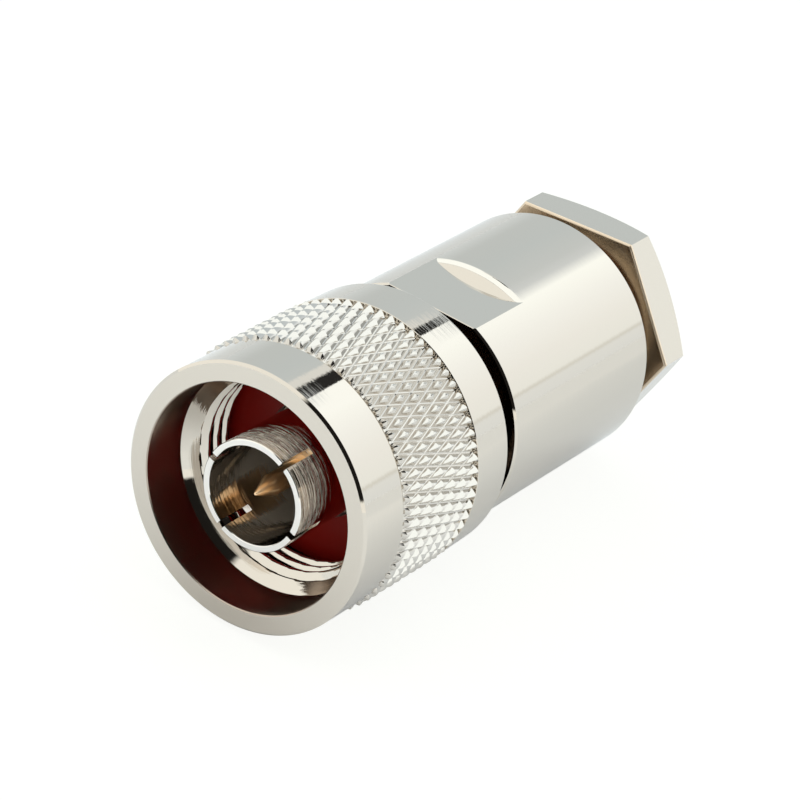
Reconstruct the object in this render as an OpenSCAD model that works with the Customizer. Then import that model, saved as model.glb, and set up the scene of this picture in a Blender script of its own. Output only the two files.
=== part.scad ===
// Type N coaxial cable plug: a knurled coupling nut on a turned body, a slotted
// outer contact with its centre pin, and a screwed cable clamp at the rear.
// The plug lies along +Y with its mouth towards -Y and its wrench flats up and down.
// The origin is the middle of the outer contact's tip, the plane it mates on.
// Each piece is drawn about its own +Z axis, which lay() turns to +Y.

/* [Coupling nut] */
// Length of the coupling nut
nut_l = 18; // [17:0.1:19]
// How far the nut's rim stands ahead of the outer contact's tip
nut_lead = 0.75; // [0.2:0.05:1.2]
// Diameter of the smooth ring at the mouth
rim_d = 20.6; // [20.4:0.05:21]
// Length of the smooth ring at the mouth
rim_l = 4.65; // [3.5:0.05:5.5]
// Chamfer on the rim's outer edge
rim_edge = 0.2; // [0.1:0.05:0.4]
// Break on the rim's inner edge
mouth_edge = 0.08; // [0.05:0.01:0.2]
// Width of the relief cut between the smooth ring and the knurl
relief_w = 0.25; // [0.15:0.05:0.5]
// Diameter of the nut under the knurl, and at the bottom of the relief cut
core_d = 20; // [19.4:0.05:20.1]
// Diameter of the smooth collar where it meets the knurl
collar_d = 20.95; // [20.7:0.05:21.4]
// Length of the smooth collar at the rear
collar_l = 4.05; // [3.2:0.05:4.6]
// How much the collar's diameter falls towards the rear
collar_fall = 0.2; // [0:0.02:0.3]
// Rounding on the collar's rear edge
collar_edge = 0.15; // [0.05:0.05:0.4]
// Bore of the smooth mouth ahead of the thread
mouth_d = 17.44; // [16.8:0.02:17.8]
// Depth of the smooth mouth
mouth_l = 4; // [3:0.1:4.6]
// Bore at the crests of the coupling thread
thread_crest_d = 14.86; // [14.6:0.02:15.2]
// Bore of the nut behind the thread
nut_bore_d = 16.4; // [16.1:0.05:16.8]
// Diameter of the recess in the nut's rear face
nut_recess_d = 19; // [18.4:0.05:19.4]
// Depth of the recess in the nut's rear face
nut_recess_l = 1.2; // [0.6:0.05:1.8]
// How far the nut floats back on the body
nut_float = 0.6; // [0.2:0.05:0.8]

/* [Knurl] */
// Diameter over the knurl's points
knurl_d = 21.16; // [21.1:0.02:21.6]
// Depth of the knurl's grooves
knurl_depth = 0.43; // [0.2:0.01:0.5]
// Points round the nut in one row
knurl_teeth = 68; // [48:1:80]
// Steps from row to row along the nut
knurl_steps = 6; // [4:1:8]
// Turn of the knurl's points from the body's flats, in degrees
knurl_turn = -2.4; // [-2.6:0.1:2.6]
// Bevel on the knurl's two ends
knurl_end = 0.2; // [0.1:0.05:0.3]
// Depth of the bevel below the knurl's hollows
knurl_end_depth = 0.05; // [0.02:0.01:0.08]
// How deep the knurl's band is rooted in the nut, and how far in the collar
knurl_root = 0.2; // [0.1:0.05:0.4]

/* [Snap ring] */
// Thickness of the snap ring along the axis
snap_t = 1; // [0.6:0.05:1.3]
// Outer diameter of the snap ring
snap_d = 17.5; // [17.1:0.05:17.8]
// Inner diameter of the snap ring
snap_bore_d = 14.9; // [14.7:0.05:15.4]
// Opening of the snap ring, in degrees
snap_gap = 36; // [20:1:60]
// Where the snap ring's groove starts behind the body's front face
snap_set = 4.2; // [3:0.1:4.6]
// Clearance beside and outside the snap ring in its grooves
snap_clear = 0.05; // [0.03:0.01:0.1]
// Bottom of the snap ring's groove in the body
snap_floor_d = 14.4; // [14:0.05:14.6]

/* [Body] */
// Diameter of the neck that the nut turns on
neck_d = 16.2; // [15.8:0.05:16.3]
// Length of the neck
neck_l = 9.8; // [9.6:0.1:11]
// Diameter of the barrel
barrel_d = 19.36; // [18.8:0.02:19.8]
// Length of the barrel
barrel_l = 18.6; // [18:0.1:20]
// Chamfer on the barrel's two ends
barrel_edge = 0.15; // [0.05:0.05:0.3]
// Distance across the wrench flats
flats_w = 17.68; // [17:0.02:18]
// Length of the wrench flats at their middle
flats_l = 5.15; // [4:0.05:7]
// Length of the run-out behind the flats
runout_l = 1.3; // [0.8:0.05:2]
// Bore for the insulators
insulator_bore_d = 10.64; // [10.4:0.02:10.9]
// Depth of the insulators' bore behind the outer contact's seat
insulator_bore_l = 8.5; // [8:0.1:9.5]
// Bore of the chamber that holds the cable clamp
chamber_d = 14.5; // [14.2:0.05:14.6]
// Length of the smooth chamber, up to the clamp nut's thread
chamber_l = 8.75; // [8:0.05:9.4]
// Bore that takes the clamp nut's thread
clamp_bore_d = 14.76; // [14.7:0.02:15.2]

/* [Gasket in the mouth] */
// Distance from the outer contact's tip to the face gasket
gasket_set = 8.05; // [7.6:0.05:8.6]
// Thickness of the face gasket
gasket_t = 1.6; // [1:0.05:2.2]
// Outer diameter of the face gasket
gasket_d = 16; // [15.4:0.05:16.1]
// Clearance between the gasket and the nut's thread when the nut is right back
gasket_clear = 0.2; // [0.1:0.05:0.4]

/* [Outer contact] */
// Outer diameter of the slotted sleeve
sleeve_d = 8.5; // [8.2:0.02:8.6]
// Diameter of the contact under the face gasket, where the sleeve starts
hub_d = 9; // [8.9:0.02:9.3]
// Wall of the slotted sleeve
sleeve_wall = 0.5; // [0.4:0.02:0.55]
// Depth of the thin-walled part
sleeve_l = 8.3; // [7:0.1:9]
// Width of the four slots
slot_w = 0.5; // [0.3:0.05:0.8]
// Length of the four slots
slot_l = 3.15; // [2:0.05:6]
// Turn of the slots' middle line from the upper flat, in degrees
slot_turn = -20.5; // [-45:0.5:45]
// Angle between the two saw cuts, in degrees
slot_spread = 100; // [80:1:100]
// Bore behind the thin-walled part
contact_bore_d = 7; // [6.8:0.02:7.1]
// Diameter of the flange seated in the body
flange_d = 12; // [11.6:0.05:12.4]
// Thickness of the flange
flange_t = 2.6; // [2:0.05:3]
// Length of the tail behind the flange
tail_l = 3; // [2.7:0.05:3.4]
// Bore of the tail
tail_bore_d = 9.24; // [9:0.02:9.4]

/* [Centre pin] */
// Diameter of the pin that mates
pin_d = 1.64; // [1.6:0.01:1.68]
// Diameter of the flat on the pin's point
pin_point_d = 0.24; // [0.1:0.02:0.5]
// How far the point sits behind the outer contact's tip
pin_set = 0.42; // [0.2:0.02:0.8]
// Length of the pin's cone
pin_cone_l = 1.85; // [1.2:0.05:2.4]
// Distance from the outer contact's tip to the pin's shoulder
shoulder_set = 5.6; // [5.2:0.05:6]
// Diameter of the pin behind its shoulder
shank_d = 3.04; // [3:0.01:3.1]
// Diameter of the pin's retaining collar
pin_collar_d = 4.4; // [4:0.05:5]
// Thickness of the pin's retaining collar
pin_collar_t = 1; // [0.8:0.05:1.3]
// Diameter of the solder cup
cup_d = 3.8; // [3.6:0.02:4]
// Distance from the outer contact's tip to the end of the solder cup
cup_end = 24; // [22:0.1:25]
// Bore of the solder cup
cup_bore_d = 2.4; // [2.2:0.02:2.6]
// Depth of the solder cup
cup_l = 6; // [4:0.1:7]
// Diameter of the solder hole through the cup's wall
solder_hole_d = 0.8; // [0.6:0.05:1.2]
// Distance from the end of the cup to its solder hole
solder_hole_set = 3.4; // [2:0.1:3.6]

/* [Insulators] */
// How far the front insulator's nose reaches ahead of the tail's bore
nose_l = 2.95; // [2:0.05:3.6]
// Length of the front insulator's flange
bead_l = 2.6; // [2.2:0.05:2.65]
// Length of the rear insulator
rear_insulator_l = 4; // [3:0.05:4.6]

/* [Cable clamp] */
// Bore for the cable through the clamp's inner pieces
cable_bore_d = 10.7; // [10.4:0.05:11.2]
// Diameter of the braid clamp's nose
ferrule_nose_d = 11.8; // [11.6:0.05:12.4]
// Length of the braid clamp's cone
ferrule_cone_l = 2.45; // [1.8:0.05:3]
// Thickness of the braid clamp's flange
ferrule_flange_t = 1.2; // [0.8:0.05:1.6]
// Thickness of the cable gasket
cable_gasket_t = 4.5; // [3:0.1:4.8]
// Thickness of the thrust washer
washer_t = 0.8; // [0.5:0.05:1]
// Bore of the thrust washer
washer_bore_d = 12; // [11.4:0.05:12.4]
// How far the clamp nut can still be screwed in
clamp_in = 2; // [1:0.1:2.2]
// Clearance left ahead of the thrust washer when the clamp nut is right in
clamp_spare = 0.2; // [0.1:0.05:0.4]

/* [Clamp nut] */
// Distance across the hexagon's flats
hex_w = 17.04; // [16.6:0.02:17.6]
// Thickness of the hexagon
hex_t = 3.35; // [3:0.05:4.5]
// Angle of the chamfer on the hexagon's rear corners
hex_chamfer = 24; // [15:1:35]
// Gap between the barrel and the hexagon
hex_gap = 2.8; // [2.4:0.05:3.4]
// Turn of the hexagon from the body's flats, in degrees
hex_turn = -4.5; // [-30:0.5:30]
// Diameter over the clamp nut's thread
shank_thread_d = 14.6; // [14.4:0.02:14.66]
// Width of the undercut between the thread and the hexagon
undercut_w = 1; // [0.5:0.05:1.6]
// Depth of the undercut
undercut_depth = 0.4; // [0.2:0.05:0.6]
// Bore for the cable
entry_d = 11; // [10.4:0.05:11.4]
// Chamfer at the cable's entry
entry_edge = 0.5; // [0.2:0.05:0.8]

/* [Fits] */
// Radial clearance of pieces seated in one another
seat = 0.02; // [0.01:0.01:0.05]
// Radial clearance of the pieces loose in the chamber
loose = 0.1; // [0.05:0.01:0.2]

/* [Hidden] */
$fn = 96;
// Overlap that keeps a cut clear of the face it leaves
eps = 0.01;
far = 60;

nickel = [0.80, 0.79, 0.75];
gold = [0.83, 0.64, 0.34];
bronze = [0.78, 0.72, 0.58];
silicone = [0.48, 0.06, 0.04];
ptfe = [0.94, 0.94, 0.92];
rubber = [0.16, 0.16, 0.17];
steel = [0.72, 0.73, 0.74];

// Places along the axis, from the outer contact's tip towards the rear
nut_front = -nut_lead;
nut_rear = nut_front + nut_l;
thread_start = nut_front + mouth_l;
thread_end = gasket_set - nut_float - gasket_clear;
knurl_front = nut_front + rim_l + relief_w;
knurl_rear = nut_rear - collar_l;
body_front = gasket_set + gasket_t;
snap_front = body_front + snap_set;
barrel_front = body_front + neck_l;
barrel_rear = barrel_front + barrel_l;
flange_rear = body_front + flange_t;
tail_rear = flange_rear + tail_l;
bead_rear = flange_rear + bead_l;
chamber_front = flange_rear + insulator_bore_l;
chamber_rear = chamber_front + chamber_l;
ferrule_rear = chamber_front + ferrule_cone_l + ferrule_flange_t;
gasket_rear = ferrule_rear + cable_gasket_t;
washer_front = gasket_rear + clamp_in + clamp_spare;
shank_front = washer_front + washer_t;
hex_front = barrel_rear + hex_gap;
hex_rear = hex_front + hex_t;

sleeve_bore_d = sleeve_d - 2 * sleeve_wall;
hex_corner_r = hex_w / 2 / cos(30);

// Turns a piece drawn along +Z so that it lies along +Y.
module lay() {
    rotate([-90, 0, 0]) children();
}

// Solid of revolution from an outline of [radius, place] points.
module turned(outline) {
    rotate_extrude() polygon(outline);
}

// Round bar of a given diameter between two places on the axis.
module bar(d, from, to) {
    translate([0, 0, from]) cylinder(d = d, h = to - from);
}

// Round hole right through whatever is being bored.
module through(d) {
    bar(d, -far, far);
}

// Cone between two places on the axis.
module cone(d_from, d_to, from, to) {
    translate([0, 0, from]) cylinder(d1 = d_from, d2 = d_to, h = to - from);
}

// Band of pointed diamonds: rows of alternate points and hollows, each row half a
// step round from the last, so that straight creases run between the hollows.
module knurl_band() {
    columns = 2 * knurl_teeth;
    hollow_r = knurl_d / 2 - knurl_depth;
    inner_r = core_d / 2 - knurl_root;
    step = (knurl_rear - knurl_front - 2 * knurl_end) / knurl_steps;
    rows = [for (row = [0 : knurl_steps])
        [for (column = [0 : columns - 1])
            let (r = (row + column) % 2 == 0 ? knurl_d / 2 : hollow_r,
                 angle = knurl_turn + column * 360 / columns)
            [r * cos(angle), r * sin(angle), knurl_front + knurl_end + row * step]]];
    end_r = hollow_r - knurl_end_depth;
    front = ring_points(columns, end_r, knurl_front);
    rear = ring_points(columns, end_r, knurl_rear + knurl_root);
    inner_rear = ring_points(columns, inner_r, knurl_rear + knurl_root);
    inner_front = ring_points(columns, inner_r, knurl_front);
    rings = concat([front], rows, [rear, inner_rear, inner_front]);
    count = len(rings);
    polyhedron(
        points = [for (ring = rings) for (point = ring) point],
        faces = [for (ring = [0 : count - 1]) for (column = [0 : columns - 1])
            let (next = (column + 1) % columns,
                 over = (ring + 1) % count,
                 a = ring * columns + column,
                 b = ring * columns + next,
                 c = over * columns + next,
                 d = over * columns + column,
                 crease_falls = (ring + column) % 2 == 1)
            for (face = crease_falls ? [[a, d, b], [b, d, c]] : [[a, c, b], [a, d, c]]) face]);
}

// Points of one ring of the band, all at one radius and one place.
function ring_points(columns, r, place) =
    [for (column = [0 : columns - 1])
        let (angle = knurl_turn + column * 360 / columns)
        [r * cos(angle), r * sin(angle), place]];

// The nut's shell: mouth, thread crests and the bore that rides on the neck.
module nut_shell() {
    thread_chamfer = (mouth_d - thread_crest_d) / 2;
    collar_rear_d = collar_d - collar_fall;
    difference() {
        union() {
            cone(rim_d - 2 * rim_edge, rim_d, nut_front, nut_front + rim_edge);
            bar(rim_d, nut_front + rim_edge, nut_front + rim_l);
            bar(core_d, nut_front + rim_l - eps, knurl_rear + eps);
            turned([[0, knurl_rear], [collar_d / 2, knurl_rear],
                    [collar_rear_d / 2, nut_rear - collar_edge],
                    [collar_rear_d / 2 - collar_edge * 0.3, nut_rear - collar_edge * 0.3],
                    [collar_rear_d / 2 - collar_edge, nut_rear], [0, nut_rear]]);
        }
        bar(mouth_d, nut_front - eps, thread_start);
        cone(mouth_d + 2 * mouth_edge + 2 * eps, mouth_d, nut_front - eps, nut_front + mouth_edge);
        cone(mouth_d, thread_crest_d, thread_start, thread_start + thread_chamfer);
        bar(thread_crest_d, thread_start, thread_end + eps);
        bar(nut_bore_d, thread_end, nut_rear + eps);
        bar(nut_recess_d, nut_rear - nut_recess_l, nut_rear + eps);
        bar(snap_d + 2 * snap_clear, snap_front, snap_front + snap_t + 2 * snap_clear);
    }
}

module coupling_nut() {
    color(nickel) lay() union() {
        nut_shell();
        knurl_band();
    }
}

module snap_ring() {
    color(steel) lay()
        translate([0, 0, snap_front + snap_clear])
            rotate_extrude(angle = 360 - snap_gap, start = 270 + snap_gap / 2)
                translate([snap_bore_d / 2, 0]) square([(snap_d - snap_bore_d) / 2, snap_t]);
}

// What the wrench flats leave: everything between the two flat planes, a ball that
// rises from them to the barrel's surface, and all that is behind it.
module flats_keep() {
    flats_rear = barrel_front + flats_l;
    flat_r = flats_w / 2;
    barrel_r = barrel_d / 2;
    ball_set = (barrel_r * barrel_r - flat_r * flat_r + runout_l * runout_l) / (2 * runout_l);
    translate([-far / 2, -flat_r, barrel_front - flats_l]) cube([far, flats_w, far]);
    translate([0, 0, flats_rear + ball_set]) sphere(r = norm([flat_r, ball_set]));
    bar(2 * barrel_d, flats_rear + runout_l, far);
}

// What the turned edge at the barrel's front leaves: a ball about the axis that
// meets the front face and the barrel's surface at the edge's width, and all behind.
module edge_keep() {
    barrel_r = barrel_d / 2;
    middle = barrel_front + barrel_r;
    translate([0, 0, middle]) sphere(r = norm([barrel_r, barrel_r - barrel_edge]));
    bar(2 * barrel_d, middle, far);
}

module barrel() {
    intersection() {
        turned([[0, barrel_front], [barrel_d / 2, barrel_front],
                [barrel_d / 2, barrel_rear - barrel_edge],
                [barrel_d / 2 - barrel_edge, barrel_rear], [0, barrel_rear]]);
        edge_keep();
        flats_keep();
    }
}

module body() {
    groove_rear = snap_front + snap_t + nut_float + 2 * snap_clear;
    color(nickel) lay() difference() {
        union() {
            bar(neck_d, body_front, snap_front);
            bar(snap_floor_d, snap_front - eps, groove_rear + eps);
            bar(neck_d, groove_rear, barrel_front + eps);
            barrel();
        }
        bar(flange_d + 2 * seat, body_front - eps, flange_rear);
        bar(insulator_bore_d, body_front, chamber_front + eps);
        bar(chamber_d, chamber_front, chamber_rear + eps);
        bar(clamp_bore_d, chamber_rear, barrel_rear + eps);
        cone(clamp_bore_d, clamp_bore_d + 1 + 2 * eps, barrel_rear - 0.5, barrel_rear + eps);
    }
}

module face_gasket() {
    color(silicone) lay() difference() {
        bar(gasket_d, gasket_set, body_front);
        through(hub_d + 2 * seat);
    }
}

module outer_contact() {
    color(bronze) lay() difference() {
        union() {
            bar(sleeve_d, 0, gasket_set + eps);
            bar(hub_d, gasket_set, body_front + eps);
            bar(flange_d, body_front, flange_rear);
            bar(insulator_bore_d - 2 * seat, flange_rear - eps, tail_rear);
        }
        bar(sleeve_bore_d, -eps, sleeve_l);
        through(contact_bore_d);
        bar(tail_bore_d, flange_rear, tail_rear + eps);
        for (side = [-1, 1])
            rotate([0, 0, slot_turn - 90 + side * slot_spread / 2])
                translate([-sleeve_d, -slot_w / 2, -eps])
                    cube([2 * sleeve_d, slot_w, slot_l + eps]);
    }
}

module front_insulator() {
    color(ptfe) lay() difference() {
        union() {
            bar(contact_bore_d - 2 * seat, flange_rear - nose_l, flange_rear + eps);
            bar(tail_bore_d - 2 * seat, flange_rear, bead_rear);
        }
        through(shank_d + 2 * seat);
    }
}

module centre_pin() {
    cone_rear = pin_set + pin_cone_l;
    shoulder_edge = 0.2;
    color(gold) lay() difference() {
        union() {
            cone(pin_point_d, pin_d, pin_set, cone_rear);
            bar(pin_d, cone_rear - eps, shoulder_set + eps);
            cone(shank_d - 2 * shoulder_edge, shank_d, shoulder_set, shoulder_set + shoulder_edge);
            bar(shank_d, shoulder_set + shoulder_edge - eps, bead_rear + eps);
            bar(pin_collar_d, bead_rear, bead_rear + pin_collar_t);
            bar(cup_d, bead_rear + pin_collar_t - eps, cup_end);
        }
        bar(cup_bore_d, cup_end - cup_l, cup_end + eps);
        translate([0, 0, cup_end - solder_hole_set])
            rotate([90, 0, 0]) cylinder(d = solder_hole_d, h = cup_d);
    }
}

module rear_insulator() {
    color(ptfe) lay() difference() {
        bar(insulator_bore_d - 2 * seat, tail_rear, tail_rear + rear_insulator_l);
        bar(pin_collar_d + 2 * seat, tail_rear - eps, bead_rear + pin_collar_t);
        through(cup_d + 2 * seat);
    }
}

module braid_clamp() {
    cone_rear = chamber_front + ferrule_cone_l;
    flange_r = chamber_d / 2 - loose;
    color(nickel) lay() difference() {
        turned([[0, chamber_front], [ferrule_nose_d / 2, chamber_front],
                [flange_r - 0.1, cone_rear], [flange_r, cone_rear],
                [flange_r, ferrule_rear], [0, ferrule_rear]]);
        through(cable_bore_d);
    }
}

module cable_gasket() {
    color(rubber) lay() difference() {
        bar(chamber_d - 2 * loose, ferrule_rear, gasket_rear);
        through(cable_bore_d);
    }
}

module thrust_washer() {
    color(steel) lay() difference() {
        bar(chamber_d - 2 * loose, washer_front, shank_front - seat);
        through(washer_bore_d);
    }
}

// Hexagonal head whose rear corners are turned off by a ball about the axis, which
// meets the rear face's rim at the chamfer's angle.
module hex_head() {
    ball_r = hex_w / 2 / sin(hex_chamfer);
    intersection() {
        rotate([0, 0, hex_turn])
            translate([0, 0, hex_front]) cylinder(r = hex_corner_r, h = hex_t, $fn = 6);
        translate([0, 0, hex_rear - hex_w / 2 / tan(hex_chamfer)]) sphere(r = ball_r);
    }
}

module clamp_nut() {
    thread_lead = 0.5;
    undercut_front = hex_front - undercut_w;
    color(nickel) lay() difference() {
        union() {
            cone(shank_thread_d - 2 * thread_lead, shank_thread_d,
                 shank_front, shank_front + thread_lead);
            bar(shank_thread_d, shank_front + thread_lead - eps, undercut_front);
            bar(shank_thread_d - 2 * undercut_depth, undercut_front - eps, hex_front + eps);
            hex_head();
        }
        through(entry_d);
        cone(entry_d, entry_d + 2 * entry_edge + 2 * eps, hex_rear - entry_edge, hex_rear + eps);
    }
}

coupling_nut();
snap_ring();
body();
face_gasket();
outer_contact();
front_insulator();
centre_pin();
rear_insulator();
braid_clamp();
cable_gasket();
thrust_washer();
clamp_nut();
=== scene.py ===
"""Looks of a Type N cable plug that lies on its side, mouth towards -Y.

Bright nickel shells turned on a lathe, a slotted contact round a gold pin, and a dark
red gasket deep in the mouth. Every skin is made of rings about the plug's axis, the Y
axis, in millimetres, and becomes metres when its mesh is made.
"""
import math

import bpy
import numpy as np
from mathutils import Matrix, Vector


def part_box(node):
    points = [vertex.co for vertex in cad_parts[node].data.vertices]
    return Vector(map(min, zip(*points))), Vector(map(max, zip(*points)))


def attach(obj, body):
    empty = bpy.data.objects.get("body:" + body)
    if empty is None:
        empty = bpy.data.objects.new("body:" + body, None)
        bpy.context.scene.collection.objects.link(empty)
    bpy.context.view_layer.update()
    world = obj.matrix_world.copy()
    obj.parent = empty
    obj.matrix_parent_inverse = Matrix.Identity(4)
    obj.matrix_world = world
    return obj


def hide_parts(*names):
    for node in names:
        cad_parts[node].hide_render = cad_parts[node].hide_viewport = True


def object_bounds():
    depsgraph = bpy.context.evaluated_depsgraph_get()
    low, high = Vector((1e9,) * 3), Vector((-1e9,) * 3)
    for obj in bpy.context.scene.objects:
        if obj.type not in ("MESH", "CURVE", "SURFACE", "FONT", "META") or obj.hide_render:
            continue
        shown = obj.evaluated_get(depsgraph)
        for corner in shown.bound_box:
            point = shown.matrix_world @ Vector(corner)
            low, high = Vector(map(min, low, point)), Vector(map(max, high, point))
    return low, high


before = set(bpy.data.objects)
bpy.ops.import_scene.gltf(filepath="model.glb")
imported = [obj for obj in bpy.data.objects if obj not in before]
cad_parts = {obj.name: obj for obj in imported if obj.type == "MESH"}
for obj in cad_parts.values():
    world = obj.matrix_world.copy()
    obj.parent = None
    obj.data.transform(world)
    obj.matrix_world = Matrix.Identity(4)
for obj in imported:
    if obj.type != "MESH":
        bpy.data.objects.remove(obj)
MM = 0.001


# ---------------------------------------------------------------- sizes, in millimetres

def span(node):
    """Where a CAD node starts and ends along the axis."""
    low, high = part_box(node)
    return low.y / MM, high.y / MM


NUT_FRONT, NUT_REAR = span("coupling_nut")
BODY_FRONT, BODY_REAR = span("body")
CLAMP_FRONT, CLAMP_REAR = span("clamp_nut")
CONTACT_FRONT, CONTACT_REAR = span("outer_contact")
PIN_FRONT, PIN_REAR = span("centre_pin")
GASKET_FRONT, GASKET_REAR = span("face_gasket")
FLOOR_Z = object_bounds()[0].z

RIM_R = 10.3
RIM_EDGE = 0.2
RIM_LENGTH = 4.65
RELIEF_WIDTH = 0.25
CORE_R = 10.0
MOUTH_R = 8.72
MOUTH_EDGE = 0.08
MOUTH_DEPTH = 4.0
COLLAR_LENGTH = 4.05
COLLAR_R = 10.475
COLLAR_REAR_R = 10.375
COLLAR_EDGE = 0.15
NUT_BORE_R = 8.2
NUT_RECESS = (9.5, 1.2)
THREAD_PITCH = 1.058
THREAD_CREST_R = 7.43
THREAD_ROOT_R = 7.98
THREAD_END = 7.25
SNAP_GROOVE = (13.85, 14.95, 8.8)

KNURL_R = 10.58
KNURL_DEPTH = 0.43
KNURL_TEETH = 68
KNURL_STEPS = 6
KNURL_TURN = -2.4
KNURL_BEVEL = 0.2
KNURL_CELL = 6
GROOVE_FLAT = 1 / 8

NECK_R = 8.1
NECK_LENGTH = 9.8
SNAP_SEAT = (13.85, 15.55, 7.2)
POCKET_R = 6.02
POCKET_REAR = 12.25
INSULATOR_BORE_R = 5.32
CHAMBER = (20.75, 29.5, 7.25)
CLAMP_BORE_R = 7.38
CLAMP_BORE_EDGE = 0.5
BARREL_R = 9.68
BARREL_EDGE = 0.15
FLAT_Z = 8.84
FLAT_EDGE = 0.05
FLATS_LENGTH = 5.15
RUNOUT_LENGTH = 1.36
RUNOUT_SLOPES = [(0, 0.86), (0.74, 0.86), (0.82, 0.42), (1.28, 0.26), (1.36, 0)]

HEX_FLAT_R = 8.52
HEX_THICKNESS = 3.35
HEX_TURN = -4.5
HEX_CHAMFER = 24
HEX_EDGE = 0.06
HEX_ROUND = 0.2
SHANK_R = 7.3
SHANK_ROOT_R = 6.85
SHANK_PITCH = 1.0
SHANK_THREAD_END = 37.9
UNDERCUT_WIDTH = 1.0
UNDERCUT_R = 6.9
ENTRY_R = 5.5
ENTRY_EDGE = 0.5

SLEEVE_R = 4.25
SLEEVE_BORE_R = 3.75
SLEEVE_EDGE = 0.05
SLEEVE_DEPTH = 8.3
HUB_R = 4.5
HUB_SINK = 0.6
SLOT_WIDTH = 0.5
SLOT_LENGTH = 3.15
SAW_R = 15.0
SLOT_TURNS = (29.5, -70.5)
CONTACT_BORE_R = 3.5
FLANGE_R = 6.0
FLANGE_LENGTH = 2.6
TAIL_R = 5.3
TAIL_BORE_R = 4.62

PIN_R = 0.82
PIN_CONE = 1.85
PIN_SHOULDER = 5.6
PIN_STEM_R = 1.52
PIN_COLLAR = (14.85, 15.85, 2.2)
CUP_R = 1.9
CUP_BORE_R = 1.2
CUP_DEPTH = 6


# ---------------------------------------------------------------- skins of rings

def even_angles(count):
    """Angles round the axis, from +Z towards +X, in radians."""
    return np.arange(count) * 2 * math.pi / count


def angles_between(corners, count):
    """Angles with the given corners (degrees, rising over one turn) among them and
    count even steps between each two."""
    corners = np.radians(np.asarray(corners, float))
    ends = np.append(corners[1:], corners[0] + 2 * math.pi)
    steps = np.arange(count) / count
    return (corners[:, None] + (ends - corners)[:, None] * steps).ravel()


def skin(name, angles, rings, capped=False, falls=None, sharp=25):
    """Mesh of closed rings. rings is a list of (radius, place), each a number or one
    value per angle. The last ring joins the first, or both get a flat cap. falls says
    for each cell which way it is split in two."""
    radius = np.array([np.broadcast_to(r, angles.shape) for r, _ in rings])
    place = np.array([np.broadcast_to(y, angles.shape) for _, y in rings])
    rows, columns = radius.shape
    points = np.stack([radius * np.sin(angles), place, radius * np.cos(angles)], axis=-1)
    row = np.arange(rows - 1 if capped else rows)[:, None]
    column = np.arange(columns)[None, :]
    over, beside = (row + 1) % rows, (column + 1) % columns
    a, b = row * columns + column, row * columns + beside
    c, d = over * columns + beside, over * columns + column
    if falls is None:
        faces = np.stack([a, b, c, d], axis=-1).reshape(-1, 4).tolist()
    else:
        split = falls[:, :, None]
        first = np.where(split, np.stack([a, b, d], -1), np.stack([a, b, c], -1))
        second = np.where(split, np.stack([b, c, d], -1), np.stack([a, c, d], -1))
        faces = np.concatenate([first, second], axis=0).reshape(-1, 3).tolist()
    if capped:
        faces.append(list(range(columns - 1, -1, -1)))
        faces.append(list(range((rows - 1) * columns, rows * columns)))
    mesh = bpy.data.meshes.new(name)
    mesh.from_pydata((points.reshape(-1, 3) * MM).tolist(), [], faces)
    mesh.shade_smooth()
    mesh.set_sharp_from_angle(angle=math.radians(sharp))
    piece = bpy.data.objects.new(name, mesh)
    bpy.context.scene.collection.objects.link(piece)
    return piece


def screw_radius(angles, place, pitch, low_r, high_r):
    """Radius of a right-handed thread at a place on the axis: flat at low_r and at
    high_r for a part of each turn, with straight flanks between."""
    turn = (place / pitch - angles / (2 * math.pi)) % 1
    flank = np.clip((np.abs(turn - 0.5) - 0.10) / 0.28, 0, 1)
    return high_r + (low_r - high_r) * flank


def knurl_height(across, along):
    """Height of a diamond knurl from 0 in the flat grooves to 1 on the points. Both
    arguments count half steps; points lie where both are whole and their sum even, and
    the height falls from a point by a power of the steps away from it."""
    def from_point(steps):
        return np.abs((steps + 1) % 2 - 1)
    down = np.maximum(from_point(across + along), from_point(across - along))
    down = np.clip(down / (1 - GROOVE_FLAT), 0, 1)
    return 1 - down ** 1.6


# ---------------------------------------------------------------- coupling nut

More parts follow.
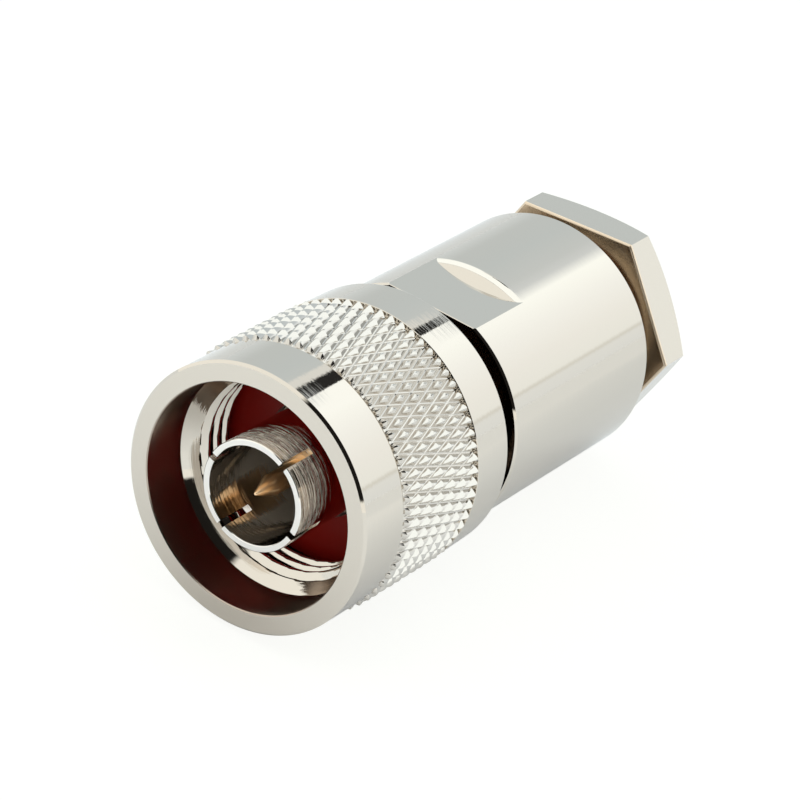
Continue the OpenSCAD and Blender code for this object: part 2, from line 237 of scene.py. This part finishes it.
def nut_shell():
    """Shell of the nut with its helical thread; the knurl is a band of its own."""
    angles = even_angles(272)
    relief = NUT_FRONT + RIM_LENGTH
    collar = NUT_REAR - COLLAR_LENGTH
    thread_start = NUT_FRONT + MOUTH_DEPTH
    groove_front, groove_rear, groove_r = SNAP_GROOVE
    rings = [
        (MOUTH_R, NUT_FRONT + MOUTH_EDGE), (MOUTH_R + MOUTH_EDGE, NUT_FRONT),
        (RIM_R - RIM_EDGE, NUT_FRONT), (RIM_R, NUT_FRONT + RIM_EDGE),
        (RIM_R, relief - 0.06), (RIM_R - 0.06, relief),
        (CORE_R, relief + 0.04), (CORE_R - 0.05, relief + RELIEF_WIDTH + 0.1),
        (CORE_R - 0.05, collar - 0.1), (CORE_R, collar - 0.02),
        (COLLAR_R - 0.04, collar), (COLLAR_R, collar + 0.04),
        (COLLAR_REAR_R + 0.0015, NUT_REAR - COLLAR_EDGE - 0.06)]
    for bend in np.radians([0, 22.5, 45, 67.5, 90]):
        rings.append((COLLAR_REAR_R - COLLAR_EDGE * (1 - math.cos(bend)),
                      NUT_REAR - COLLAR_EDGE * (1 - math.sin(bend))))
    recess_r, recess_depth = NUT_RECESS
    rings += [
        (recess_r + 0.05, NUT_REAR), (recess_r, NUT_REAR - 0.05),
        (recess_r, NUT_REAR - recess_depth), (NUT_BORE_R, NUT_REAR - recess_depth),
        (NUT_BORE_R, groove_rear), (groove_r, groove_rear),
        (groove_r, groove_front), (NUT_BORE_R, groove_front), (NUT_BORE_R, THREAD_END)]
    for place in np.linspace(THREAD_END, thread_start, 112):
        cone = MOUTH_R - (place - thread_start)
        cut = screw_radius(angles, place, THREAD_PITCH, THREAD_CREST_R, THREAD_ROOT_R)
        rings.append((np.maximum(cut, cone), place))
    return skin("nut_shell", angles, rings)


def nut_knurl():
    """Band of pointed diamonds, bevelled where it runs out at either end."""
    columns = 2 * KNURL_TEETH * KNURL_CELL
    angles = even_angles(columns) + math.radians(90 + KNURL_TURN)
    front = NUT_FRONT + RIM_LENGTH + RELIEF_WIDTH
    rear = NUT_REAR - COLLAR_LENGTH
    low_r = KNURL_R - KNURL_DEPTH
    pitch = (rear - front - 2 * KNURL_BEVEL) / KNURL_STEPS
    across = np.arange(columns) / KNURL_CELL
    inner_r = CORE_R - 0.25
    along = np.arange(-1, KNURL_STEPS * KNURL_CELL + 2) / KNURL_CELL
    rings = [(inner_r, front)]
    for step in along:
        place = np.clip(front + KNURL_BEVEL + step * pitch, front, rear)
        bevel = low_r - 0.05 + min(place - front, rear - place) * 2.4
        radius = low_r + KNURL_DEPTH * knurl_height(across, step)
        rings.append((np.minimum(radius, bevel), place))
    rings.append((inner_r, rear))
    cell_row = np.floor(np.concatenate([[-1], along, [KNURL_STEPS + 1]]) + 1e-6)
    cell_column = np.floor(across + 1e-6)
    falls = (cell_row[:, None] + cell_column[None, :]) % 2 == 0
    return skin("nut_knurl", angles, rings, falls=falls, sharp=18)


# ---------------------------------------------------------------- body

def runout_profile():
    """Places and radii of the flats' run-out: a steep ramp, then a brow that ends level
    with the barrel. The radius is the running sum of the slope, stretched to reach from
    the flat to the barrel."""
    place = np.linspace(0, RUNOUT_LENGTH, 69)
    slope = np.interp(place, *zip(*RUNOUT_SLOPES))
    rise = np.concatenate([[0], np.cumsum((slope[1:] + slope[:-1]) / 2)])
    return place, FLAT_Z + (BARREL_R - FLAT_Z) * rise / rise[-1]


def body_shell():
    """Barrel and neck, with two flats that run out in a ramp."""
    edge = math.degrees(math.acos(FLAT_Z / BARREL_R))
    corners = [-edge, edge, 180 - edge, 180 + edge]
    angles = angles_between(corners, 72)
    flat_r = np.minimum(FLAT_Z / np.maximum(np.abs(np.cos(angles)), 0.1), BARREL_R)
    on_flat = flat_r < BARREL_R - 1e-6
    front = BODY_FRONT + NECK_LENGTH
    flats_rear = front + FLATS_LENGTH
    runout_rear = flats_rear + RUNOUT_LENGTH
    rise, rise_r = runout_profile()
    start = flats_rear + np.interp(flat_r, rise_r, rise)
    seat_front, seat_rear, seat_r = SNAP_SEAT
    chamber_front, chamber_rear, chamber_r = CHAMBER
    rings = [
        (POCKET_R, BODY_FRONT), (NECK_R, BODY_FRONT), (NECK_R, seat_front),
        (seat_r, seat_front), (seat_r, seat_rear), (NECK_R, seat_rear), (NECK_R, front)]
    bevel = np.where(on_flat, FLAT_EDGE, BARREL_EDGE)
    rings += [(flat_r - bevel, front), (flat_r, front + bevel), (flat_r, start)]
    for part in np.linspace(0, 1, 24)[1:-1]:
        place = start + (runout_rear - start) * part
        ramp_r = np.interp(place - flats_rear, rise, rise_r)
        rings.append((np.where(on_flat, ramp_r, BARREL_R), place))
    rings += [
        (BARREL_R, runout_rear), (BARREL_R, runout_rear + 0.05),
        (BARREL_R, BODY_REAR - BARREL_EDGE),
        (BARREL_R - BARREL_EDGE, BODY_REAR), (CLAMP_BORE_R + CLAMP_BORE_EDGE, BODY_REAR),
        (CLAMP_BORE_R, BODY_REAR - CLAMP_BORE_EDGE), (CLAMP_BORE_R, chamber_rear),
        (chamber_r, chamber_rear), (chamber_r, chamber_front),
        (INSULATOR_BORE_R, chamber_front), (INSULATOR_BORE_R, POCKET_REAR),
        (POCKET_R, POCKET_REAR)]
    return skin("body_shell", angles, rings, sharp=20)


# ---------------------------------------------------------------- clamp nut

def clamp_nut_skin():
    """Hexagon on a threaded shank. Round the axis its radius is the flat's over the
    cosine of the angle from the flat's middle; a ball cuts its rear corners."""
    angles = angles_between([HEX_TURN + 30 + 60 * side for side in range(6)], 32)
    from_flat = (np.degrees(angles) - HEX_TURN + 30) % 60 - 30
    hex_r = HEX_FLAT_R / np.cos(np.radians(from_flat))
    hex_front = CLAMP_REAR - HEX_THICKNESS
    ball_r = HEX_FLAT_R / math.sin(math.radians(HEX_CHAMFER))
    ball = CLAMP_REAR - HEX_FLAT_R / math.tan(math.radians(HEX_CHAMFER))
    corner = ball + np.sqrt(ball_r ** 2 - hex_r ** 2)
    undercut = hex_front - UNDERCUT_WIDTH
    rings = [(ENTRY_R, CLAMP_FRONT), (SHANK_ROOT_R, CLAMP_FRONT)]
    for place in np.linspace(CLAMP_FRONT + 0.02, SHANK_THREAD_END, 120):
        lead = SHANK_ROOT_R + (place - CLAMP_FRONT)
        ridge = screw_radius(angles, place, SHANK_PITCH, SHANK_ROOT_R, SHANK_R)
        rings.append((np.minimum(ridge, lead), place))
    rings += [
        (SHANK_R, SHANK_THREAD_END + 0.05), (SHANK_R, undercut),
        (UNDERCUT_R, undercut + 0.02), (UNDERCUT_R, hex_front - 0.1),
        (UNDERCUT_R + 0.1, hex_front)]
    for bend in np.radians([0, 18, 36, 54, 72, 90]):
        rings.append((hex_r - HEX_ROUND * (1 - math.sin(bend)),
                      hex_front + HEX_ROUND * (1 - math.cos(bend))))
    rings += [
        (hex_r, hex_front + HEX_ROUND + 0.06), (hex_r, corner - HEX_EDGE),
        (hex_r - HEX_EDGE, corner + HEX_EDGE / 2),
        (HEX_FLAT_R - HEX_EDGE, CLAMP_REAR), (ENTRY_R + ENTRY_EDGE, CLAMP_REAR),
        (ENTRY_R, CLAMP_REAR - ENTRY_EDGE)]
    return skin("clamp_nut_skin", angles, rings)


# ---------------------------------------------------------------- contacts

def contact_sleeve():
    """Turned contact whose thin end is slit into four fingers by two saw cuts."""
    body_rear = CONTACT_FRONT + GASKET_REAR
    flange_rear = body_rear + FLANGE_LENGTH
    tip = CONTACT_FRONT
    rings = [
        (SLEEVE_BORE_R + SLEEVE_EDGE, tip), (SLEEVE_R - SLEEVE_EDGE, tip),
        (SLEEVE_R, tip + SLEEVE_EDGE), (SLEEVE_R, tip + SLOT_LENGTH + 0.5),
        (SLEEVE_R, GASKET_FRONT + HUB_SINK), (HUB_R, GASKET_FRONT + HUB_SINK),
        (HUB_R, body_rear),
        (FLANGE_R, body_rear),
        (FLANGE_R, flange_rear), (TAIL_R, flange_rear), (TAIL_R, CONTACT_REAR),
        (TAIL_BORE_R, CONTACT_REAR), (TAIL_BORE_R, flange_rear),
        (CONTACT_BORE_R, flange_rear), (CONTACT_BORE_R, tip + SLEEVE_DEPTH),
        (SLEEVE_BORE_R, tip + SLEEVE_DEPTH), (SLEEVE_BORE_R, tip + SLOT_LENGTH + 0.5),
        (SLEEVE_BORE_R, tip + SLEEVE_EDGE)]
    sleeve = skin("contact_sleeve", even_angles(240), rings)
    for turn in SLOT_TURNS:
        cut_slot(sleeve, math.radians(turn))
    return sleeve


def cut_slot(sleeve, turn):
    """Cuts one slot right across the sleeve's tip with a disc saw."""
    bpy.ops.mesh.primitive_cylinder_add(
        vertices=240, radius=SAW_R * MM, depth=SLOT_WIDTH * MM)
    saw = bpy.context.object
    reach = math.sqrt(SAW_R ** 2 - SLEEVE_R ** 2)
    middle = (CONTACT_FRONT + SLOT_LENGTH - reach) * MM
    saw.matrix_world = (Matrix.Rotation(turn, 4, "Y") @ Matrix.Translation((0, middle, 0))
                        @ Matrix.Rotation(math.pi / 2, 4, "Y"))
    cut = sleeve.modifiers.new("slot", "BOOLEAN")
    cut.object = saw
    cut.operation = "DIFFERENCE"
    cut.solver = "EXACT"
    bpy.context.view_layer.update()
    shaped = bpy.data.meshes.new_from_object(
        sleeve.evaluated_get(bpy.context.evaluated_depsgraph_get()))
    sleeve.modifiers.clear()
    sleeve.data = shaped
    bpy.data.objects.remove(saw)
    shaped.set_sharp_from_angle(angle=math.radians(25))


def pin_skin():
    """Gold pin: a pointed end, a shoulder and the solder cup hidden behind it."""
    cone_rear = PIN_FRONT + PIN_CONE
    collar_front, collar_rear, collar_r = PIN_COLLAR
    rings = [
        (0.02, PIN_FRONT), (0.09, PIN_FRONT + 0.02), (0.14, PIN_FRONT + 0.08),
        (PIN_R - 0.02, cone_rear - 0.05), (PIN_R, cone_rear + 0.05), (PIN_R, PIN_SHOULDER),
        (PIN_STEM_R - 0.2, PIN_SHOULDER), (PIN_STEM_R, PIN_SHOULDER + 0.2),
        (PIN_STEM_R, collar_front), (collar_r, collar_front), (collar_r, collar_rear),
        (CUP_R, collar_rear), (CUP_R, PIN_REAR - 0.05), (CUP_R - 0.05, PIN_REAR),
        (CUP_BORE_R, PIN_REAR), (CUP_BORE_R, PIN_REAR - CUP_DEPTH)]
    return skin("pin_skin", even_angles(64), rings, capped=True)


# ---------------------------------------------------------------- materials

class Nodes:
    """Short way to add nodes to a tree and join them."""

    def __init__(self, tree):
        self.tree = tree

    def add(self, kind, values=None, **settings):
        node = self.tree.nodes.new(kind)
        for key, value in settings.items():
            setattr(node, key, value)
        for key, value in (values or {}).items():
            if isinstance(value, bpy.types.NodeSocket):
                self.tree.links.new(value, node.inputs[key])
            else:
                node.inputs[key].default_value = value
        return node

    def math(self, operation, first, second=0.0, third=0.0):
        node = self.add("ShaderNodeMath", {0: first, 1: second, 2: third}, operation=operation)
        return node.outputs[0]

    def axes(self):
        """The x, y and z of a place in the piece's own coordinates, in metres."""
        place = self.add("ShaderNodeTexCoord")
        return self.add("ShaderNodeSeparateXYZ", {0: place.outputs["Object"]}).outputs

    def colors(self, value, stops):
        """Colour that changes with value along (position, colour) stops."""
        ramp = self.add("ShaderNodeValToRGB", {0: value})
        elements = ramp.color_ramp.elements
        while len(elements) > 1:
            elements.remove(elements[-1])
        for number, (position, color) in enumerate(stops):
            stop = elements[0] if number == 0 else elements.new(position)
            stop.position = position
            stop.color = (*color, 1)
        return ramp.outputs[0]


def turning_marks():
    """Group that gives the fine rings a lathe leaves: noise that changes along the
    axis and with the distance from it, but hardly round it."""
    tree = bpy.data.node_groups.new("turning marks", "ShaderNodeTree")
    for name, usual in (("Rings per mm", 12.0), ("Depth", 0.2)):
        socket = tree.interface.new_socket(name, in_out="INPUT", socket_type="NodeSocketFloat")
        socket.default_value = usual
    tree.interface.new_socket("Normal", in_out="OUTPUT", socket_type="NodeSocketVector")
    make = Nodes(tree)
    given = make.add("NodeGroupInput")
    x, y, z = make.axes()
    flat = make.add("ShaderNodeCombineXYZ", {0: x, 1: z})
    radius = make.add("ShaderNodeVectorMath", {0: flat.outputs[0]}, operation="LENGTH")
    per_metre = make.math("MULTIPLY", given.outputs[0], 1 / MM)
    along = make.math("MULTIPLY", y, per_metre)
    out = make.math("MULTIPLY", radius.outputs["Value"], per_metre)
    across = make.math("MULTIPLY", x, 60.0)
    where = make.add("ShaderNodeCombineXYZ", {0: along, 1: out, 2: across})
    noise = make.add("ShaderNodeTexNoise", {
        "Vector": where.outputs[0], "Scale": 1.0, "Detail": 3.0, "Roughness": 0.6})
    bump = make.add("ShaderNodeBump", {
        "Height": noise.outputs["Fac"], "Strength": given.outputs[1], "Distance": 0.00001})
    result = make.add("NodeGroupOutput")
    tree.links.new(bump.outputs[0], result.inputs[0])
    return tree


MARKS = turning_marks()
# Nickel's own colour, which turns warmer each time light bounces between two pieces.
NICKEL = (0.66, 0.61, 0.54)


def metal(name, color, roughness, rings_per_mm=12.0, depth=0.2):
    """Polished plating over turning marks."""
    material, make, shader = new_material(name, color, roughness)
    shader.inputs["Metallic"].default_value = 1.0
    marks = make.add("ShaderNodeGroup", node_tree=MARKS)
    marks.inputs[0].default_value = rings_per_mm
    marks.inputs[1].default_value = depth
    make.tree.links.new(marks.outputs[0], shader.inputs["Normal"])
    return material


def shade_part(piece, material, chosen):
    """Gives the faces whose centres are chosen(places, radii), in millimetres, another
    material."""
    faces = piece.data.polygons
    middle = np.empty(3 * len(faces))
    faces.foreach_get("center", middle)
    x, y, z = middle.reshape(-1, 3).T / MM
    piece.data.materials.append(material)
    number = np.zeros(len(faces), dtype=np.int32)
    faces.foreach_get("material_index", number)
    number[chosen(y, np.hypot(x, z))] = len(piece.data.materials) - 1
    faces.foreach_set("material_index", number)


def contact_plating_painted_shade():
    """Pale plating over coarse marks, with painted shade: its colour darkens deeper down in the
    sleeve.
    """
    material = metal("contact_plating_painted_shade", (1, 1, 1), 0.06, rings_per_mm=3, depth=3.0)
    make = Nodes(material.node_tree)
    # Painted shade: the colour darkens with the depth into the sleeve, from pale at the tip to
    # dark at the bottom.
    depth = make.math("MULTIPLY", make.axes()[1], 1 / (SLEEVE_DEPTH * MM))
    color = make.colors(depth, [
        (0.0, (0.85, 0.82, 0.78)), (0.03, (0.80, 0.74, 0.68)), (0.3, (0.70, 0.64, 0.58)),
        (1.0, (0.40, 0.36, 0.31))])
    shader = material.node_tree.nodes["Principled BSDF"]
    make.tree.links.new(color, shader.inputs["Base Color"])
    return material


def plain(name, color, roughness):
    """Rubber and plastic."""
    return new_material(name, color, roughness)[0]


def new_material(name, color, roughness):
    material = bpy.data.materials.new(name)
    material.use_nodes = True
    shader = material.node_tree.nodes["Principled BSDF"]
    shader.inputs["Base Color"].default_value = (*color, 1)
    shader.inputs["Roughness"].default_value = roughness
    return material, Nodes(material.node_tree), shader


def dress():
    """Makes the skins, gives every piece its material and hands it to its body."""
    nickel = metal("bright_nickel", NICKEL, 0.04, rings_per_mm=4, depth=0.6)
    # Painted shade: the knurl's nickel is a little darker and less warm than the smooth shell's,
    # which tones its facets down.
    knurled = metal("knurled_nickel_painted_shade", (0.625, 0.59, 0.54), 0.12, depth=0.0)
    # Mouth bore: rougher bored nickel, its colour darkened as painted shade for the dark inside
    # of the mouth.
    bored = metal("bored_nickel_painted_shade", (0.46, 0.38, 0.32), 0.25)
    # Painted shade: near-black nickel for the body's neck, in the gap between the coupling nut
    # and the barrel.
    hidden = metal("neck_painted_shade", (0.16, 0.12, 0.09), 0.1)
    # Painted highlight: warm, brassy nickel on the hex's rounded front edge, standing in for its
    # orange edge highlight.
    hex_edge_glint = metal("hex_edge_painted_highlight", (0.72, 0.59, 0.45), 0.3, depth=0.0)
    # Painted shade and reflection: brown, darkened nickel for the clamp nut's undercut and the
    # hex's front face, which face the body's rear.
    hex_face_shade = metal("hex_face_painted_shade", (0.52, 0.40, 0.28), 0.25, depth=0.0)
    hexed = metal("hex_nickel", NICKEL, 0.15, rings_per_mm=8, depth=0.1)
    sleeve = contact_plating_painted_shade()
    gold = metal("gold_plating", (1.0, 0.72, 0.44), 0.3, depth=0.0)
    steel = metal("spring_steel", (0.5, 0.5, 0.5), 0.3)
    silicone = plain("red_silicone", (0.32, 0.010, 0.006), 0.3)
    silicone.node_tree.nodes["Principled BSDF"].inputs["Specular IOR Level"].default_value = 0.15
    # Painted shade: PTFE's white darkened to grey-brown, for the shade deep inside the contact.
    ptfe = plain("ptfe_painted_shade", (0.60, 0.58, 0.54), 0.5)
    rubber = plain("black_rubber", (0.03, 0.03, 0.03), 0.6)

    nut, body, clamp = nut_shell(), body_shell(), clamp_nut_skin()
    pieces = [
        (nut, nickel, "nut", "nickel", "coupling_nut"),
        (nut_knurl(), knurled, "nut", "nickel", "coupling_nut"),
        (body, nickel, "shell", "nickel", "body"),
        (clamp, hexed, "gland", "nickel", "clamp_nut"),
        (contact_sleeve(), sleeve, "shell", "contact_bronze", "outer_contact"),
        (pin_skin(), gold, "shell", "gold", "centre_pin")]
    for piece, material, rides, slot, node in pieces:
        piece.data.materials.clear()
        piece.data.materials.append(material)
        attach(piece, rides)
        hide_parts(node)
    # Painted shade on the mouth's bore.
    bore_rear = NUT_FRONT + MOUTH_DEPTH + 0.005
    shade_part(nut, bored, lambda y, r: (y < bore_rear) & (r < MOUTH_R + MOUTH_EDGE))
    # Painted shade on the neck, in the gap behind the coupling nut.
    step = BODY_FRONT + NECK_LENGTH + 0.01
    shade_part(body, hidden, lambda y, r: y < step)
    hex_front = CLAMP_REAR - HEX_THICKNESS
    groove_front, face_rear = hex_front - UNDERCUT_WIDTH, hex_front + 0.001
    # Painted shade and brown reflection on the undercut and the hex's front face.
    shade_part(clamp, hex_face_shade, lambda y, r: (y > groove_front) & (y < face_rear))
    # Painted highlight on the hex's rounded front edge.
    shade_part(clamp, hex_edge_glint, lambda y, r: (
        (y > face_rear) & (y < hex_front + HEX_ROUND) & (r > UNDERCUT_R + 0.2)))
    kept = {
        "snap_ring": steel, "face_gasket": silicone, "front_insulator": ptfe,
        "rear_insulator": ptfe, "braid_clamp": nickel, "cable_gasket": rubber,
        "thrust_washer": steel}
    for node, material in kept.items():
        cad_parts[node].material_slots[0].material = material


# ---------------------------------------------------------------- stage, light, camera

# Light towards the rear, by the angle round the plug's axis from straight up: a grey
# wall on the left and a bright window on the right, down to the table's far edge.
STUDIO = [
    (-180, (0.60, 0.62, 0.63)), (-135, (0.92, 0.94, 0.93)), (-111, (0.94, 0.99, 1.01)),
    (-87, (0.81, 0.88, 0.91)), (-72, (0.73, 0.80, 0.83)), (-40, (0.75, 0.84, 0.89)),
    (-14, (0.81, 0.89, 0.94)), (-4, (0.90, 0.98, 1.04)), (7, (1.47, 1.57, 1.59)),
    (33, (1.34, 1.41, 1.44)), (57, (1.25, 1.30, 1.31)), (76, (1.20, 1.26, 1.26)),
    (79, (0.94, 0.96, 0.92)), (81, (1.08, 1.14, 1.16)), (130, (0.91, 0.98, 1.04)),
    (180, (0.60, 0.62, 0.63))]
# Light from above, by how far the direction points to the rear: the roof's front half
# is a little duller than its rear half, and a thin seam parts them.
ROOF = [
    (-1.0, (1.20, 1.22, 1.17)), (0.07, (1.26, 1.27, 1.22)), (0.09, (0.35, 0.34, 0.33)),
    (0.12, (0.35, 0.34, 0.33)), (0.14, (1.50, 1.60, 1.62)), (1.0, (1.50, 1.60, 1.62))]
# The unlit side of the room, in front of the plug and to its right.
DARK_SIDE = (0.50, -0.80, 0.33)
DARK = (0.015, 0.014, 0.013, 1)


def studio_world():
    """White tent for the camera. Metal sees a bright roof, the wall and window behind
    the plug, and the unlit side of the room in front of it."""
    world = bpy.data.worlds.new("studio")
    bpy.context.scene.world = world
    world.use_nodes = True
    tree = world.node_tree
    tree.nodes.clear()
    make = Nodes(tree)
    look = make.add("ShaderNodeTexCoord")
    axes = make.add("ShaderNodeSeparateXYZ", {0: look.outputs["Generated"]})
    angle = make.math("ARCTAN2", axes.outputs[0], axes.outputs[2])
    part = make.math("MULTIPLY_ADD", angle, 0.5 / math.pi, 0.5)
    rear = make.colors(part, [((degrees + 180) / 360, color) for degrees, color in STUDIO])
    forward = make.math("MULTIPLY_ADD", axes.outputs[1], 0.5, 0.5)
    roof = make.colors(forward, [((rear_part + 1) / 2, color) for rear_part, color in ROOF])
    rearward = make.add("ShaderNodeMapRange", {
        0: axes.outputs[1], 1: 0.5, 2: 0.7, 3: 0.0, 4: 1.0})
    around = make.add("ShaderNodeMix", {
        0: rearward.outputs[0], 6: roof, 7: rear}, data_type="RGBA")
    toward = make.add("ShaderNodeVectorMath", {
        0: look.outputs["Generated"], 1: DARK_SIDE}, operation="DOT_PRODUCT")
    within = make.add("ShaderNodeMapRange", {
        0: toward.outputs["Value"], 1: 0.70, 2: 0.75, 3: 0.0, 4: 1.0})
    raised = make.add("ShaderNodeMapRange", {
        0: axes.outputs[2], 1: 0.08, 2: 0.11, 3: 0.0, 4: 1.0})
    unlit = make.math("MULTIPLY", within.outputs[0], raised.outputs[0])
    room = make.add("ShaderNodeMix", {0: unlit, 6: around.outputs[2], 7: DARK},
                    data_type="RGBA")
    tent = make.add("ShaderNodeBackground", {0: room.outputs[2], 1: 1.0})
    white = make.add("ShaderNodeBackground", {0: (0.98, 0.985, 0.96, 1), 1: 1.0})
    path = make.add("ShaderNodeLightPath")
    shown = make.add("ShaderNodeMixShader", {
        0: path.outputs["Is Camera Ray"], 1: tent.outputs[0], 2: white.outputs[0]})
    make.add("ShaderNodeOutputWorld", {0: shown.outputs[0]})


def glowing(name, color):
    """Material that only gives light."""
    material = bpy.data.materials.new(name)
    material.use_nodes = True
    tree = material.node_tree
    tree.nodes.clear()
    make = Nodes(tree)
    light = make.add("ShaderNodeEmission", {0: (*color, 1), 1: 1.0})
    make.add("ShaderNodeOutputMaterial", {0: light.outputs[0]})
    return material


CARD_HEIGHT = 60


def card(name, corners, color):
    """Flat card over the plug's rear, in millimetres, seen only in the metal."""
    mesh = bpy.data.meshes.new(name)
    mesh.from_pydata([(x * MM, y * MM, CARD_HEIGHT * MM) for x, y in corners], [], [(0, 1, 2, 3)])
    mesh.materials.append(glowing(name, color))
    panel = bpy.data.objects.new(name, mesh)
    bpy.context.scene.collection.objects.link(panel)
    panel.visible_camera = False
    panel.visible_diffuse = False
    panel.visible_shadow = False


def window_cards():
    """Edge of the window's white cloth with its dark seam and the glow beside it, close
    enough to the plug that only the coupling nut mirrors them."""
    card("cloth", [(-2.9, 56), (17, 56), (17, 86), (-4.2, 86)], (1.45, 1.54, 1.57))
    card("seam", [(-15.9, 56), (-2.9, 56), (-4.2, 86), (-12, 86)], (0.03, 0.03, 0.03))
    card("glow", [(-26, 56), (-15.9, 56), (-12, 86), (-22, 86)], (1.02, 1.06, 1.06))


# How much of the floor the camera sees as white; the rest shows the plug's shadow.
FLOOR_GLOW = 0.85


def stage_floor():
    """Pale floor under the plug, with painted shade: its colour darkens towards the rear on the
    left, and a faint glow of its own, painted light, lifts the plug's shadow. The camera sees it
    brightened to the white of the tent."""
    bpy.ops.mesh.primitive_plane_add(size=1.6, location=(0, 0.02, FLOOR_Z - 0.00002))
    floor = bpy.context.object
    floor.name = "floor"
    material, make, shader = new_material("floor_white", (0.88, 0.90, 0.92), 0.9)
    shader.inputs["Specular IOR Level"].default_value = 0.0
    path = make.add("ShaderNodeLightPath")
    glow = make.add("ShaderNodeEmission", {0: (1.0, 1.005, 0.975, 1), 1: 1.05})
    # Painted shade: the floor's colour darkens towards the rear, less so on the right.
    x, y, _ = make.axes()
    back = make.add("ShaderNodeMapRange", {0: y, 1: -0.05, 2: 0.07, 3: 0.0, 4: 1.0})
    right = make.add("ShaderNodeMapRange", {0: x, 1: 0.02, 2: 0.06, 3: 0.0, 4: 0.8})
    gloom = make.math("SUBTRACT", back.outputs[0], right.outputs[0])
    color = make.colors(gloom, [
        (0.0, (0.97, 0.98, 0.99)), (0.5, (0.82, 0.84, 0.86)), (1.0, (0.73, 0.75, 0.77))])
    make.tree.links.new(color, shader.inputs["Base Color"])
    # Painted light: a faint glow of the floor's own, which lifts the plug's shadow.
    shader.inputs["Emission Color"].default_value = (1, 1, 1, 1)
    shader.inputs["Emission Strength"].default_value = 0.08
    shade = make.add("ShaderNodeMixShader", {
        0: make.math("MULTIPLY", path.outputs["Is Camera Ray"], FLOOR_GLOW),
        1: shader.outputs[0], 2: glow.outputs[0]})
    out = material.node_tree.nodes["Material Output"]
    make.tree.links.new(shade.outputs[0], out.inputs[0])
    floor.data.materials.append(material)


def camera():
    """Long lens, from the front and above, tipped a little to the left."""
    eye = Vector((0.1161, -0.1981, 0.1427))
    ahead = Vector((-0.4098, 0.7633, -0.4995))
    upward = Vector((-0.4349, 0.3178, 0.8425))
    side = ahead.cross(upward).normalized()
    upward = side.cross(ahead).normalized()
    data = bpy.data.cameras.new("camera")
    data.lens = 172.8
    data.sensor_width = 36
    data.clip_start = 0.01
    holder = bpy.data.objects.new("camera", data)
    bpy.context.scene.collection.objects.link(holder)
    turn = Matrix((side, upward, -ahead.normalized())).transposed().to_4x4()
    holder.matrix_world = Matrix.Translation(eye) @ turn
    bpy.context.scene.camera = holder


camera()
dress()
studio_world()
stage_floor()
window_cards()
bpy.context.scene.view_settings.view_transform = "Standard"
